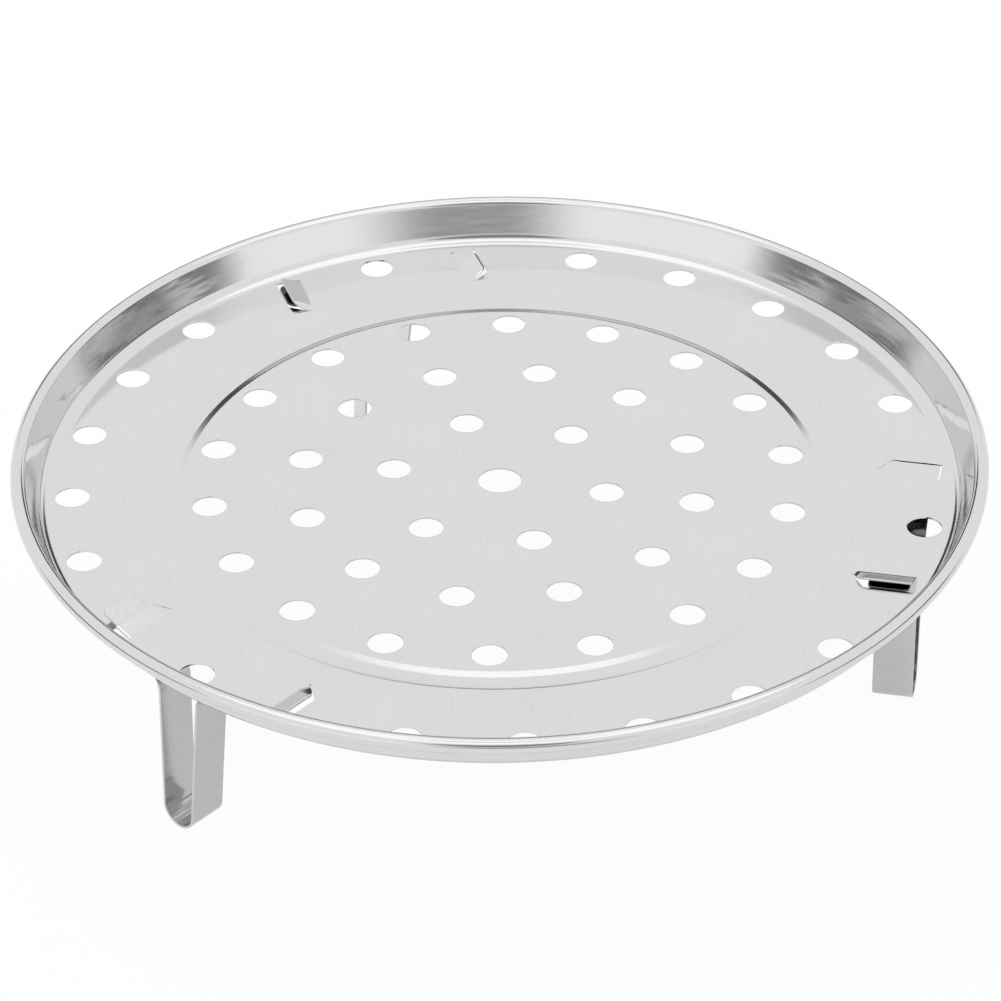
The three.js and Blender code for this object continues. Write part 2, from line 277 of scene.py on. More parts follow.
@dataclass(frozen=True)
class Louvre:
    """A lip lanced and raised from the plate, with the window it leaves, in millimetres.

    Places are a radius from the tray's axis and a distance from the middle of the leg. Shares are
    of the lip's depth.
    """

    root: float = 19.4
    depth: float = 5.0
    rise: float = 1.7
    inner_end: float = 84.6
    inner_taper: float = 3.6
    outer_end: float = 99.2
    end_slit: float = 0.4
    slit: float = 1.2
    point_share: float = 0.25
    point_cut: float = 3.2
    point_slit: float = 0.65
    bend_share: float = 0.25
    skirt: float = 0.25
    cuts: int = 15

    @property
    def edge(self) -> float:
        """Distance of the lip's free edge from the middle of the leg."""
        return self.root + self.depth

    @property
    def lip_end(self) -> float:
        """Radius of the lip's outer end."""
        return self.outer_end - self.end_slit

    def ramp(self, along: float) -> float:
        """Height of the lip at a distance from its root: a bend, then a flat slope."""
        share = along / self.depth
        flat = self.rise / (1 - self.bend_share / 2)
        if share < self.bend_share:
            return flat * share * share / (2 * self.bend_share)
        return flat * (share - self.bend_share / 2)

    def build(self) -> Piece:
        """Models the lip and a narrow skirt of the plate around its window.

        Returns:
            The surface, with the skirt's border in the vertex group of the plate's borders.
        """
        bpy.ops.object.select_all(action="DESELECT")
        bpy.ops.mesh.primitive_plane_add(size=1)
        piece = bpy.context.active_object
        piece.name = "louvre"
        low = Vector((self.inner_end, self.root, 0)) * MM
        high = Vector((self.outer_end, self.edge + self.slit, 0)) * MM
        skirt = Vector((1, 1, 0)) * self.skirt * MM
        size = high - low + 2 * skirt
        point_end = self.inner_end + self.inner_taper
        edit_all()
        bpy.ops.transform.resize(value=(size.x, size.y, 1))
        bpy.ops.transform.translate(value=(low + high) / 2)
        assign_border(piece)
        bpy.ops.mesh.inset(thickness=self.skirt * MM, use_boundary=True)
        bpy.ops.object.vertex_group_remove_from()
        bpy.ops.mesh.bisect(plane_co=(0, self.edge * MM, 0), plane_no=(0, 1, 0))
        self.pick_lip(self.outer_end)
        bpy.ops.mesh.bisect(plane_co=(self.lip_end * MM, 0, 0), plane_no=(1, 0, 0))
        self.pick_lip(self.lip_end)
        bpy.ops.mesh.bisect(plane_co=(point_end * MM, 0, 0), plane_no=(1, 0, 0))
        self.cut_slit()
        self.pick_lip(self.lip_end)
        bpy.ops.mesh.subdivide(number_cuts=self.cuts)
        self.raise_lip()
        self.narrow_window()
        leave_edit_mode()
        return piece

    def pick_lip(self, outer: float) -> None:
        """Selects the flat faces of the lip, up to an outer radius in millimetres."""
        pick_faces(lambda middle: self.inner_end < middle.x < outer
                   and self.root < middle.y < self.edge)

    def cut_slit(self) -> None:
        """Deletes the faces between the lip and the far sides of the window."""
        def in_slit(middle: Vector) -> bool:
            """Tells whether a face is in the slit beside the lip or the one at its outer end."""
            inside = self.inner_end < middle.x < self.outer_end
            along = self.edge < middle.y < self.edge + self.slit
            at_end = self.lip_end < middle.x and self.root < middle.y < self.edge
            return inside and (along or at_end)

        pick_faces(in_slit)
        bpy.ops.mesh.delete(type="FACE")

    def narrow_window(self) -> None:
        """Narrows the window towards the lip's point, leaving a blunt start of the slit."""
        corner = Vector((self.inner_end, self.edge + self.slit, 0)) * MM
        point = Vector((self.inner_end, self.root + self.depth * self.point_share, 0)) * MM
        middle = (corner + point) / 2
        pick(lambda co: min((co - corner).length, (co - point).length) < NEAR)
        bpy.ops.mesh.subdivide(number_cuts=1)
        pick(lambda co: (co - middle).length < NEAR)
        bpy.ops.transform.translate(value=point + Vector((0, self.point_slit * MM, 0)) - middle)
        pick(lambda co: (co - corner).length < NEAR)
        bpy.ops.transform.translate(value=(self.point_cut * MM, 0, 0))

    def raise_lip(self) -> None:
        """Raises the lip row by row, then lets its inner end run out into the plate as a point."""
        rows = self.cuts + 1
        inside = (self.inner_end * MM - NEAR, self.lip_end * MM + NEAR)
        for row in range(1, rows + 1):
            along = self.depth * row / rows
            level = (self.root + along) * MM
            pick(lambda co: abs(co.y - level) < NEAR and inside[0] < co.x < inside[1])
            bpy.ops.transform.translate(value=(0, 0, self.ramp(along) * MM))
        for column in range(rows):
            share = column / rows
            radius = (self.inner_end + self.inner_taper * share) * MM
            span = (self.root * MM + NEAR, self.edge * MM + NEAR)
            pick(lambda co: abs(co.x - radius) < NEAR and span[0] < co.y < span[1])
            bow = self.point_share + (1 - self.point_share) * math.sin(math.pi / 2 * share)
            fade = share * share * (3 - 2 * share)
            centre = (radius, self.root * MM, 0)
            bpy.ops.transform.resize(value=(1, bow, fade), center_override=centre)


@dataclass
class Tray:
    """The pressed, punched and rolled sheet that carries the food, in millimetres.

    Levels are over the plate's upper face until the finished sheet is lifted to its height.
    """

    louvre: Louvre = field(default_factory=Louvre)
    azimuths: tuple[float, ...] = LEG_AZIMUTHS
    lip_shares: tuple[Span, ...] = ((1.0, 0.75), (0.25, 1.0), (0.45, 0.85))
    sheet: float = 0.5
    plate_height: float = PLATE_HEIGHT
    rim_radius: float = 111.7
    rim_rise: float = 10.2
    wall_tilt: float = math.radians(18)
    corner_radius: float = 3.2
    bead_radius: float = 1.75
    curl_end: float = math.radians(-130)
    groove_radii: tuple[float, ...] = (72.7, 74.9, 78.9, 79.8)
    groove_levels: tuple[float, ...] = (0.0, -0.57, -0.14, 0.0)
    groove_round: float = 0.4
    border_flat: float = 0.8
    centre_hole_radius: float = 5.0
    hole_radius: float = 4.0
    hole_flat: float = 0.2
    rings: tuple[tuple[int, float], ...] = ((6, 25.0), (12, 46.0), (18, 67.0), (24, 98.2))
    groove_steps: int = 4
    corner_steps: int = 8
    bead_steps: int = 30
    turn_steps: int = 192
    hole_steps: int = 48
    broken_edge: float = 0.06

    def build(self) -> Piece:
        """Models the pressed ring, rim, hole edges and louvres, then the plate between them.

        Returns:
            The finished tray.
        """
        tray = self.groove()
        parts = [self.rim(), *self.hole_edges(), *self.louvres()]
        join_into(tray, parts)
        tray.name = "tray_sheet"
        tray.data.name = "tray_sheet"
        inside = self.groove_radii[0] * MM
        outside = self.groove_radii[-1] * MM
        self.fill_plate(tray, lambda radius: radius < inside)
        self.fill_plate(tray, lambda radius: radius > outside)
        self.turn_upwards(tray)
        thicken(tray, self.sheet * MM, -1, self.broken_edge * MM)
        tray.vertex_groups.clear()
        return tray

    def groove(self) -> Piece:
        """Spins the pressed ring, steep on its inner side and gentle up to its outer edge."""
        inner, outer = self.groove_radii[0], self.groove_radii[-1]
        section = Section("groove", inner - self.border_flat, 0)
        for radius, level in zip(self.groove_radii, self.groove_levels):
            section.line_to(radius, level)
        section.line_to(outer + self.border_flat, 0)
        for corner in self.groove_radii:
            section.round_corner(corner, self.groove_round, self.groove_steps)
        ring = section.spin_round(self.turn_steps)
        self.mark_border(ring, (inner - self.border_flat, outer + self.border_flat))
        return ring

    def rim(self) -> Piece:
        """Spins the upturned wall and the rolled bead."""
        bead = Vector((self.rim_radius - self.bead_radius, 0, self.rim_rise - self.bead_radius))
        wall_top = bead.x - self.bead_radius * math.cos(self.wall_tilt)
        wall_level = bead.z + self.bead_radius * math.sin(self.wall_tilt)
        wall_foot = wall_top - wall_level * math.tan(self.wall_tilt)
        corner_turn = math.pi / 2 - self.wall_tilt
        corner = wall_foot - self.corner_radius * math.tan(corner_turn / 2)
        section = Section("rim", corner - self.hole_flat, 0)
        section.line_to(corner, 0)
        section.arc_about(corner, self.corner_radius, corner_turn, self.corner_steps)
        section.line_to(wall_top, wall_level)
        curl = self.curl_end - (math.pi - self.wall_tilt)
        section.arc_about(bead.x, bead.z, curl, self.bead_steps)
        ring = section.spin_round(self.turn_steps)
        self.mark_border(ring, (corner - self.hole_flat,))
        return ring

    def mark_border(self, ring: Piece, radii: tuple[float, ...]) -> None:
        """Puts the circles of a spun ring that the plate joins in the group of borders.

        Args:
            ring: The spun ring.
            radii: The circles' radii in millimetres.
        """
        def on_circle(co: Vector) -> bool:
            """Tells whether a vertex is on one of the circles, at the plate's level."""
            radius = math.hypot(co.x, co.y)
            return abs(co.z) < NEAR and any(abs(radius - each * MM) < NEAR for each in radii)

        activate(ring)
        bpy.ops.object.mode_set(mode="EDIT")
        pick(on_circle)
        assign_border(ring)
        leave_edit_mode()

    def hole_edge(self, radius: float) -> Piece:
        """Models the flat edge around one punched hole.

        Args:
            radius: The hole's radius in millimetres.

        Returns:
            A ring whose outer circle is in the group of borders.
        """
        bpy.ops.object.select_all(action="DESELECT")
        bpy.ops.mesh.primitive_circle_add(vertices=self.hole_steps, radius=radius * MM)
        ring = bpy.context.active_object
        ring.name = "hole_edge"
        widening = (radius + self.hole_flat) / radius
        edit_all()
        bpy.ops.mesh.extrude_edges_move(TRANSFORM_OT_translate={"value": (0, 0, 0)})
        bpy.ops.transform.resize(value=(widening, widening, 1), center_override=(0, 0, 0))
        assign_border(ring)
        leave_edit_mode()
        return ring

    def hole_places(self) -> Iterator[Vector]:
        """Yields the places of the punched holes, without those that would run into a louvre."""
        for count, radius in self.rings:
            for index in range(count):
                angle = math.radians(self.azimuths[0]) + math.tau * index / count
                place = Vector((math.cos(angle), math.sin(angle), 0)) * radius
                if not self.meets_louvre(place):
                    yield place

    def meets_louvre(self, place: Vector) -> bool:
        """Tells whether a hole at a place in millimetres would run into a louvre."""
        for azimuth in self.azimuths:
            local = Matrix.Rotation(-math.radians(azimuth), 3, "Z") @ place
            along = abs(local.y) - self.louvre.root
            gap_along = max(-along, along - self.louvre.depth - self.louvre.slit, 0)
            gap_across = max(self.louvre.inner_end - local.x, local.x - self.louvre.outer_end, 0)
            if math.hypot(gap_along, gap_across) < self.hole_radius + 2 * self.hole_flat:
                return True
        return False

    def hole_edges(self) -> list[Piece]:
        """Copies the edge of one hole to all places, and adds the larger middle hole."""
        first = self.hole_edge(self.hole_radius)
        edges = [copy_of(first, Matrix.Translation(place * MM)) for place in self.hole_places()]
        bpy.data.meshes.remove(first.data)
        return [*edges, self.hole_edge(self.centre_hole_radius)]

    def louvres(self) -> list[Piece]:
        """Copies one louvre to both sides of each leg, with its own share of the lip's rise."""
        first = self.louvre.build()
        copies = []
        for azimuth, shares in zip(self.azimuths, self.lip_shares):
            turn = Matrix.Rotation(math.radians(azimuth), 4, "Z")
            for side, share in zip(LouvreSide, shares):
                copies.append(copy_of(first, turn @ Matrix.Diagonal((1, side.value, share, 1))))
        bpy.data.meshes.remove(first.data)
        return copies

    def fill_plate(self, tray: Piece, within: Callable[[float], bool]) -> None:
        """Fills the flat plate between the borders of one field.

        Args:
            tray: The joined rings.
            within: Tells for a radius in metres whether it is in the field.
        """
        activate(tray)
        bpy.ops.object.mode_set(mode="EDIT")
        group = tray.vertex_groups[BORDER].index
        mesh = bmesh.from_edit_mesh(tray.data)
        weights = mesh.verts.layers.deform.active
        bpy.ops.mesh.select_all(action="DESELECT")
        for edge in mesh.edges:
            on_border = all(group in end[weights] for end in edge.verts)
            in_field = all(within(math.hypot(end.co.x, end.co.y)) for end in edge.verts)
            if edge.is_boundary and on_border and in_field:
                edge.select_set(True)
        bmesh.update_edit_mesh(tray.data)
        bpy.ops.mesh.fill(use_beauty=True)
        leave_edit_mode()

    def turn_upwards(self, tray: Piece) -> None:
        """Merges doubles, turns the sheet's face upwards and lifts it to its height."""
        activate(tray)
        edit_all()
        bpy.ops.mesh.remove_doubles(threshold=NEAR)
        bpy.ops.mesh.normals_make_consistent(inside=False)
        mesh = bmesh.from_edit_mesh(tray.data)
        plate = max(mesh.faces, key=lambda face: face.calc_area() * (abs(face.normal.z) > LEVEL))
        if plate.normal.z < 0:
            bpy.ops.mesh.flip_normals()
        bpy.ops.transform.translate(value=UP * self.plate_height * MM)
        leave_edit_mode()


@dataclass
class StripLeg:
    """One strip bent into a U with two flanges that slope up through the louvres, in millimetres.

    Drawn at azimuth 0 in the plane of Y, along the louvres, and Z, over the plate's upper face. Its
    slide moves it towards the anticlockwise side, and its tilt swings the foot the other way.
    """

    node: str
    azimuth: float
    slide: float = 0.0
    tilt: float = 0.0
    louvre: Louvre = field(default_factory=Louvre)
    plate_height: float = PLATE_HEIGHT
    radius: float = 93.3
    width: float = 9.4
    strip: float = 0.6
    u_width: float = 9.2
    arm_lean: float = math.radians(2.4)
    shoulder_radius: float = 7.0
    shoulder_drop: float = 3.0
    flange_level: float = -1.2
    tongue_reach: float = 25.4
    tongue_rises: Span = (math.radians(10), math.radians(10))
    tongue_corner: float = 1.8
    root_crease: float = 1.2
    broken_edge: float = 0.12
    foot_steps: int = 14
    shoulder_steps: int = 12
    corner_steps: int = 6
    crease_steps: int = 5

    def build(self) -> Piece:
        """Draws the strip's middle surface along both halves of the U, then thickens it.

        Returns:
            The finished leg.
        """
        foot = self.foot(1)
        start = Vector((self.radius - self.width / 2, foot.y, foot.z - self.foot_radius)) * MM
        leg = start_point(self.node + "_strip", start)
        across = (self.width * MM, 0, 0)
        bpy.ops.mesh.extrude_vertices_move(TRANSFORM_OT_translate={"value": across})
        for side in LouvreSide:
            pick(lambda co: abs(co.y - start.y) < NEAR and abs(co.z - start.z) < NEAR)
            self.draw_half(side.value)
        bpy.ops.mesh.select_all(action="SELECT")
        bpy.ops.mesh.remove_doubles(threshold=NEAR)
        bpy.ops.mesh.normals_make_consistent(inside=False)
        leave_edit_mode()
        thicken(leg, self.strip * MM, 0, self.broken_edge * MM)
        even_shading(leg)
        turn = Matrix.Rotation(math.radians(self.azimuth), 4, "Z")
        leg.data.transform(Matrix.Translation(UP * self.plate_height * MM) @ turn)
        return leg

    @property
    def foot_radius(self) -> float:
        """Radius of the middle surface round the foot."""
        return (self.u_width - self.strip) / 2

    @property
    def bend(self) -> float:
        """Radius of the middle surface at a shoulder."""
        return self.shoulder_radius + self.strip / 2

    def foot(self, side: int) -> Vector:
        """Centre of the foot's bend, measured towards one side."""
        level = self.u_width / 2 - self.plate_height
        rise = self.shoulder_level - level
        return Vector((0, side * self.slide - rise * math.tan(side * self.tilt), level))

    @property
    def shoulder_level(self) -> float:
        """Level of the centres of the shoulders' bends."""
        return self.flange_level - self.shoulder_drop - self.bend

    def draw_half(self, side: int) -> None:
        """Draws the foot's bend, the arm, the shoulder and the flange of one side of the leg.

        Args:
            side: 1 for the anticlockwise side and -1 for the other.
        """
        lean = self.arm_lean + side * self.tilt
        foot = self.foot(side)
        rise = self.shoulder_level - foot.z
        spread = (self.foot_radius + self.bend) / math.cos(lean) + rise * math.tan(lean)
        shoulder = Vector((0, foot.y + spread, self.shoulder_level))
        root = Vector((0, self.louvre.root, self.flange_level))
        towards = root - shoulder
        release = math.atan2(towards.z, towards.y) + math.acos(self.bend / towards.length)
        self.turn_about(foot, side, math.pi / 2 - lean, self.foot_steps)
        arm_foot = foot + Vector((0, math.cos(lean), -math.sin(lean))) * self.foot_radius
        arm_top = shoulder + Vector((0, -math.cos(lean), math.sin(lean))) * self.bend
        self.push(arm_top - arm_foot, side)
        self.turn_about(shoulder, side, release - (math.pi - lean), self.shoulder_steps)
        place = shoulder + Vector((0, math.cos(release), math.sin(release))) * self.bend
        reach = self.tongue_reach + side * self.slide
        tucked_in = reach > root.y
        if tucked_in:
            self.push(root - place, side)
            beyond = reach - root.y
            slope = math.tan(self.tongue_rises[0 if side > 0 else 1])
            self.push(Vector((0, beyond, beyond * slope)), side)
        else:
            self.push((root - place) * ((reach - place.y) / (root.y - place.y)), side)
        corner = self.tongue_corner * MM
        bpy.ops.mesh.bevel(offset=corner, segments=self.corner_steps, affect="VERTICES")
        if tucked_in:
            crease = Vector((self.radius, side * root.y, root.z)) * MM
            size = self.root_crease * MM
            pick(lambda co: abs(co.y - crease.y) < NEAR and abs(co.z - crease.z) < NEAR)
            bpy.ops.mesh.bevel(offset=size, segments=self.crease_steps, affect="EDGES")

    def turn_about(self, centre: Vector, side: int, angle: float, steps: int) -> None:
        """Bends the strip on about a centre, given in millimetres for the anticlockwise side."""
        middle = Vector((0, side * centre.y, centre.z)) * MM
        bpy.ops.mesh.spin(steps=steps, angle=side * angle, center=middle, axis=(-1, 0, 0))

    def push(self, step: Vector, side: int) -> None:
        """Runs the strip straight on by a step in millimetres, given for the anticlockwise side."""
        value = Vector((0, side * step.y, step.z)) * MM
        bpy.ops.mesh.extrude_edges_move(TRANSFORM_OT_translate={"value": value})


def new_group(name: str, inputs: dict[str, float], outputs: tuple[str, ...]) -> NodeTree:
    """Starts a shader node group with a vector input, number inputs and number outputs.

    Args:
        name: The group's name.
        inputs: The numbers' names, each with its default.
        outputs: The outputs' names.

    Returns:
        The group, with its input and output nodes.
    """
    group = bpy.data.node_groups.new(name, "ShaderNodeTree")
    group.interface.new_socket("Vector", in_out="INPUT", socket_type="NodeSocketVector")
    for label, default in inputs.items():
        socket = group.interface.new_socket(label, in_out="INPUT", socket_type="NodeSocketFloat")
        socket.default_value = default
    for label in outputs:
        group.interface.new_socket(label, in_out="OUTPUT", socket_type="NodeSocketFloat")
    group.nodes.new("NodeGroupInput")
    group.nodes.new("NodeGroupOutput")
    return group


def grey(tone: float) -> tuple[float, float, float, float]:
    """Gives the opaque grey of a tone."""
    return (tone, tone, tone, 1.0)


class Wiring:
    """Adds nodes to a node tree and links them. Values are sockets or plain numbers."""

    def __init__(self, tree: NodeTree) -> None:
        """Wires the given tree."""
        self.tree = tree

    def node(self, kind: str, *sources: object, **settings: object) -> Node:
        """Adds a node, sets its properties and feeds its first inputs in their order."""
        made = self.tree.nodes.new(kind)
        for label, value in settings.items():
            setattr(made, label, value)
        for source, target in zip(sources, made.inputs):
            self.feed(source, target)
        return made

    def feed(self, source: object, target: Socket) -> None:
        """Links a socket to a target, or sets the target's value."""
        if isinstance(source, Socket):
            self.tree.links.new(source, target)
        else:
            target.default_value = source

    def math(self, operation: str, *values: object) -> Socket:
        """Adds a Math node for up to three values and returns its result."""
        return self.node("ShaderNodeMath", *values, operation=operation).outputs[0]

    def product(self, *factors: object) -> object:
        """Multiplies all factors."""
        result = factors[0]
        for factor in factors[1:]:
            result = self.math("MULTIPLY", result, factor)
        return result

    def step(self, value: object, low: float, high: float) -> Socket:
        """Maps a value smoothly from 0 at low to 1 at high."""
        kind = "ShaderNodeMapRange"
        return self.node(kind, value, low, high, interpolation_type="SMOOTHSTEP").outputs[0]

    def fall(self, value: object, low: float, high: float) -> Socket:
        """Maps a value smoothly from 1 at low to 0 at high."""
        return self.math("SUBTRACT", 1.0, self.step(value, low, high))

    def noise(self, vector: object, scale: float, detail: float,
              roughness: float = 0.5) -> Socket:
        """Adds a Noise texture and returns its value."""
        made = self.node("ShaderNodeTexNoise")
        values = {"Vector": vector, "Scale": scale, "Detail": detail, "Roughness": roughness}
        for label, value in values.items():
            self.feed(value, made.inputs[label])
        return made.outputs["Fac"]

    def axes(self, vector: object) -> bpy.types.bpy_prop_collection:
        """Splits a vector into its X, Y and Z."""
        return self.node("ShaderNodeSeparateXYZ", vector).outputs

    def scaled(self, vector: object, factors: object) -> Socket:
        """Multiplies a vector by a factor for each axis."""
        return self.node("ShaderNodeVectorMath", vector, factors, operation="MULTIPLY").outputs[0]

    def turned(self, vector: object, angle: object) -> Socket:
        """Turns a vector about Z."""
        made = self.node("ShaderNodeVectorRotate", rotation_type="Z_AXIS")
        self.feed(vector, made.inputs["Vector"])
        self.feed(angle, made.inputs["Angle"])
        return made.outputs[0]

    def blend(self, kind: str, factor: object, first: object, second: object) -> Socket:
        """Mixes two values of a kind, FLOAT or RGBA: the first at factor 0, the second at 1."""
        made = self.node("ShaderNodeMix", data_type=kind)
        for source, label in ((factor, "Factor"), (first, "A"), (second, "B")):
            self.feed(source, made.inputs[label])
        return made.outputs["Result"]

    def seen(self, path: Node) -> Socket:
        """Gives 1 for the light paths that the camera sees directly, and 0 for others."""
        rays = path.outputs
        return self.math("MAXIMUM", rays["Is Camera Ray"], rays["Is Transmission Ray"])

    def placed(self, group: NodeTree, vector: object, **values: float) -> Node:
        """Places a node group, with the values of its number inputs by name."""
        made = self.node("ShaderNodeGroup", node_tree=group)
        self.feed(vector, made.inputs["Vector"])
        for label, value in values.items():
            made.inputs[label.replace("_", " ").title()].default_value = value
        return made


@dataclass(frozen=True)
class BrushGrain:
    """Fine brush lines, long in one direction and narrow across it, and soft patches."""

    line_width: float = 0.4 * MM
    line_length: float = 20 * MM
    line_detail: float = 3.0
    line_roughness: float = 0.6
    patch_scale: float = 45.0
    patch_detail: float = 2.0

    def build(self) -> NodeTree:
        """Builds the node group.

        Returns:
            The group. Its outputs Grain and Patches vary around 0.5.
        """
        sizes = {"Turn": 0.0, "Line Width": self.line_width, "Line Length": self.line_length}
        group = new_group("brush_grain", sizes, ("Grain", "Patches"))
        wire = Wiring(group)
        given = group.nodes["Group Input"].outputs
        result = group.nodes["Group Output"].inputs
        per_width = wire.math("DIVIDE", 1.0, given["Line Width"])
        per_length = wire.math("DIVIDE", 1.0, given["Line Length"])
        stretch = wire.node("ShaderNodeCombineXYZ", per_width, per_length, per_width)
        lines = wire.scaled(wire.turned(given["Vector"], given["Turn"]), stretch.outputs[0])
        grain = wire.noise(lines, 1.0, self.line_detail, self.line_roughness)
        patches = wire.noise(given["Vector"], self.patch_scale, self.patch_detail)
        wire.feed(grain, result["Grain"])
        wire.feed(patches, result["Patches"])
        return group


@dataclass(frozen=True)
class HandlingMarks:
    """Marks that handling leaves: specks, hair scratches and smudges.

    Spacings are in metres. Reach and width are shares of a spacing.
    """

    speck_spacing: float = 12 * MM
    speck_rarity: Span = (0.55, 1.0)
    speck_reach: float = 0.045
    scratch_spacing: float = 20 * MM
    scratch_width: float = 0.006
    break_scale: float = 60.0
    break_detail: float = 2.0
    break_edge: Span = (0.56, 0.66)
    smudge_scale: float = 26.0
    smudge_detail: float = 3.0

    def build(self) -> NodeTree:
        """Builds the node group.

        Returns:
            The group. Specks and Scratches are masks, Smudge is a soft value around 0.5.
        """
        sizes = {"Speck Spacing": self.speck_spacing, "Scratch Spacing": self.scratch_spacing}
        group = new_group("handling_marks", sizes, ("Specks", "Scratches", "Smudge"))
        wire = Wiring(group)
        given = group.nodes["Group Input"].outputs
        result = group.nodes["Group Output"].inputs
        place = given["Vector"]
        cells = wire.node("ShaderNodeTexVoronoi")
        wire.feed(place, cells.inputs["Vector"])
        wire.feed(wire.math("DIVIDE", 1.0, given["Speck Spacing"]), cells.inputs["Scale"])
        chance = wire.node("ShaderNodeSeparateColor", cells.outputs["Color"])
        reach = wire.product(wire.step(chance.outputs[0], *self.speck_rarity), self.speck_reach)
        hairs = wire.node("ShaderNodeTexVoronoi", feature="DISTANCE_TO_EDGE")
        wire.feed(place, hairs.inputs["Vector"])
        wire.feed(wire.math("DIVIDE", 1.0, given["Scratch Spacing"]), hairs.inputs["Scale"])
        line = wire.fall(hairs.outputs["Distance"], 0.0, self.scratch_width)
        broken = wire.step(wire.noise(place, self.break_scale, self.break_detail), *self.break_edge)
        wire.feed(wire.math("LESS_THAN", cells.outputs["Distance"], reach), result["Specks"])
        wire.feed(wire.product(line, broken), result["Scratches"])
        wire.feed(wire.noise(place, self.smudge_scale, self.smudge_detail), result["Smudge"])
        return group


@dataclass(frozen=True)
class SteelFinish:
    """A stainless finish: its tone, gloss, brush lines, marks of handling, waves and painted shade.

    Lengths and levels are in metres. The waves are those of a pressed wall, over a level. The
    painted shade comes in between the first two of its levels and goes out between the last two.
    """

    name: str
    tone: float
    shade: float
    roughness: float
    grain_roughness: float
    grain_width: float
    grain_length: float
    grain_height: float
    grain_share: float = 0.6
    patch_share: float = 0.4
    shade_edge: Span = (0.3, 0.7)
    smudge_roughness: float = 0.1
    speck_tone: float = 0.16
    speck_share: float = 0.8
    scratch_share: float = 0.06
    wave_height: float = 0.0
    wave_from: float = 0.0
    wave_blend: float = 2 * MM
    wave_scale: float = 55.0
    wave_detail: float = 2.0
    wave_squeeze: float = 4.0
    # Levels of painted shade: the colour is darkened towards its tone where shade falls under the
    # plate
    painted_shade: tuple[float, float, float, float] | None = None
    painted_shade_tone: float = 0.14

    def material(self, grain: NodeTree, marks: NodeTree) -> bpy.types.Material:
        """Builds the finish's material.

        Args:
            grain: The group of brush lines.
            marks: The group of handling marks.

        Returns:
            The material.
        """
        made = bpy.data.materials.new(self.name)
        made.use_nodes = True
        wire = Wiring(made.node_tree)
        shader = made.node_tree.nodes["Principled BSDF"]
        shader.inputs["Metallic"].default_value = 1.0
        place = wire.node("ShaderNodeTexCoord").outputs["Object"]
        lines = wire.placed(grain, place, turn=-PHOTO_TURN, line_width=self.grain_width,
                            line_length=self.grain_length)
        worn = wire.placed(marks, place)
        rough = wire.math("MULTIPLY_ADD", lines.outputs["Grain"], self.grain_roughness,
                          self.roughness - self.grain_roughness / 2)
        smudged = wire.math("MULTIPLY_ADD", worn.outputs["Smudge"], self.smudge_roughness,
                            wire.math("SUBTRACT", rough, self.smudge_roughness / 2))
        wire.feed(self.colour(wire, lines, worn, place), shader.inputs["Base Color"])
        wire.feed(smudged, shader.inputs["Roughness"])
        wire.feed(self.relief(wire, lines, worn, place), shader.inputs["Normal"])
        return made

    def colour(self, wire: Wiring, lines: Node, worn: Node,
               place: Socket) -> Socket:
        """Mixes tone and shade by brush lines and patches, then adds marks and the painted shade.
        """
        varied = wire.math("MULTIPLY_ADD", lines.outputs["Grain"], self.grain_share,
                           wire.product(lines.outputs["Patches"], self.patch_share))
        lighter = wire.step(varied, *self.shade_edge)
        steel = wire.blend("RGBA", lighter, grey(self.shade), grey(self.tone))
        marked = wire.math("MAXIMUM", wire.product(worn.outputs["Specks"], self.speck_share),
                           wire.product(worn.outputs["Scratches"], self.scratch_share))
        specked = wire.blend("RGBA", marked, steel, grey(self.speck_tone))
        if self.painted_shade is None:
            return specked
        # Painted shade: darkens the colour between two levels just under the plate, where shade
        # falls in the louvres and holes
        level = wire.axes(place)["Z"]
        painted_shade_mask = wire.product(wire.step(level, *self.painted_shade[:2]), wire.fall(level, *self.painted_shade[2:]))
        return wire.blend("RGBA", painted_shade_mask, specked, grey(self.painted_shade_tone))

    def relief(self, wire: Wiring, lines: Node, worn: Node,
               place: Socket) -> Socket:
        """Bumps the surface by brush lines, scratches and the slight waves of a pressed wall."""
        pressed = wire.step(wire.axes(place)["Z"], self.wave_from, self.wave_from + self.wave_blend)
        drawn = wire.scaled(place, (1.0, 1.0, self.wave_squeeze))
        swell = wire.math("SUBTRACT", wire.noise(drawn, self.wave_scale, self.wave_detail), 0.5)
        fine = wire.math("SUBTRACT", lines.outputs["Grain"], worn.outputs["Scratches"])
        height = wire.math("MULTIPLY_ADD", wire.product(swell, pressed), self.wave_height,
                           wire.product(fine, self.grain_height))
        bump = wire.node("ShaderNodeBump")
        bump.inputs["Distance"].default_value = 1.0
        wire.feed(height, bump.inputs["Height"])
        return bump.outputs["Normal"]


SHEET_FINISH = SteelFinish(
    name="brushed_sheet_steel", tone=0.715, shade=0.685, roughness=0.11, grain_roughness=0.04,
    grain_width=0.35 * MM, grain_length=9 * MM, grain_height=0.0004 * MM,
    wave_height=0.1 * MM, wave_from=48.4 * MM)
# The strip's painted shade darkens it just under the plate, where it lies in shade
STRIP_FINISH = SteelFinish(
    name="rolled_strip_steel", tone=0.68, shade=0.62, roughness=0.17, grain_roughness=0.05,
    grain_width=0.5 * MM, grain_length=5 * MM, grain_height=0.0008 * MM,
    painted_shade=(37 * MM, 41.5 * MM, 47.5 * MM, 48.2 * MM))


